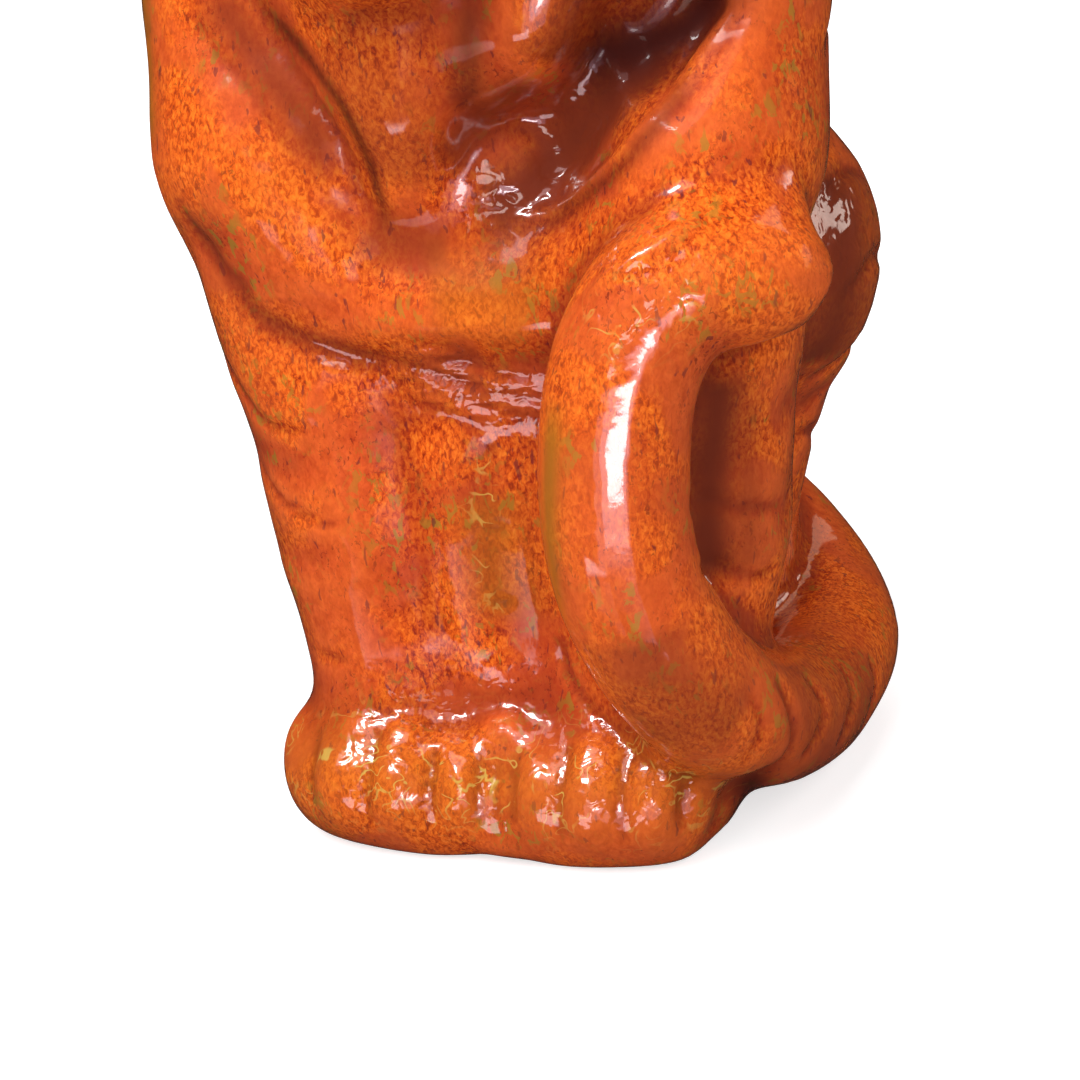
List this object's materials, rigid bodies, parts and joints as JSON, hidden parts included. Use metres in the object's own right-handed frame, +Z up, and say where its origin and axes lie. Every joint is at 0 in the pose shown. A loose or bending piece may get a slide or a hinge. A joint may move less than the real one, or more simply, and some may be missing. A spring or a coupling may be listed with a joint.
{
  "type": "ceramic tiger figurine",
  "caption": "Seated tiger cast in one piece, upright on its forelegs, with its thick tail curled round the left side and up against the left foreleg.",
  "frame": {"origin": "under the middle of the figure's outer box, on the surface that it stands on", "axes": "+Z up, the tiger looks along -Y, and its left side, where the tail lies, is +X"},
  "size_m": [0.1092, 0.1258, 0.2098],
  "materials": {
    "glaze": "glossy orange-red lustre glaze, mottled with brown-red veins and small olive-gold and purple flecks"
  },
  "bodies": {
    "root": {"tiger": "glaze"}
  },
  "joints": []
}
